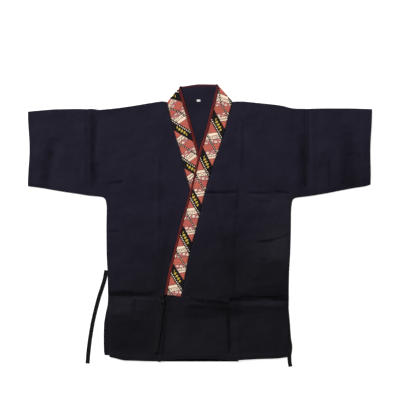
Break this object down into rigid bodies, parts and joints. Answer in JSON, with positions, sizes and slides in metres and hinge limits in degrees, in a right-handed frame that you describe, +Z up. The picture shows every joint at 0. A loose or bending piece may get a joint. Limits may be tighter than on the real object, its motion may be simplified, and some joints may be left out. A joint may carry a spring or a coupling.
{
  "type": "wrap-front kitchen jacket",
  "caption": "Short-sleeved wrap-front kitchen jacket laid flat, with a printed collar band bound in red and cloth ties.",
  "frame": {"origin": "middle of the jacket's footprint, on the surface that it lies on, ties not counted", "axes": "+X towards the wearer's left sleeve, +Y from the hem to the collar, +Z up from the surface"},
  "size_m": [0.999, 0.8221, 0.0083],
  "materials": {
    "indigo_cloth": "matt dark indigo cotton twill, washed and ironed",
    "printed_band": "matt cotton printed in coral, cream, black and mauve",
    "red_binding": "folded red bias binding with a slight sheen",
    "tie_cloth": "narrow dark cotton strips, folded and stitched",
    "white_tape": "plain white woven tape, blank"
  },
  "bodies": {
    "root": {"back": "indigo_cloth", "front_right": "indigo_cloth", "front_left": "indigo_cloth", "sleeve_right": "indigo_cloth", "sleeve_left": "indigo_cloth", "collar_right": "printed_band", "collar_back": "indigo_cloth", "collar_left": "printed_band", "binding_right": "red_binding", "binding_back": "red_binding", "binding_left": "red_binding", "tie_side": "tie_cloth", "tie_collar": "tie_cloth", "tie_inner": "tie_cloth", "size_tab": "white_tape"}
  },
  "joints": []
}
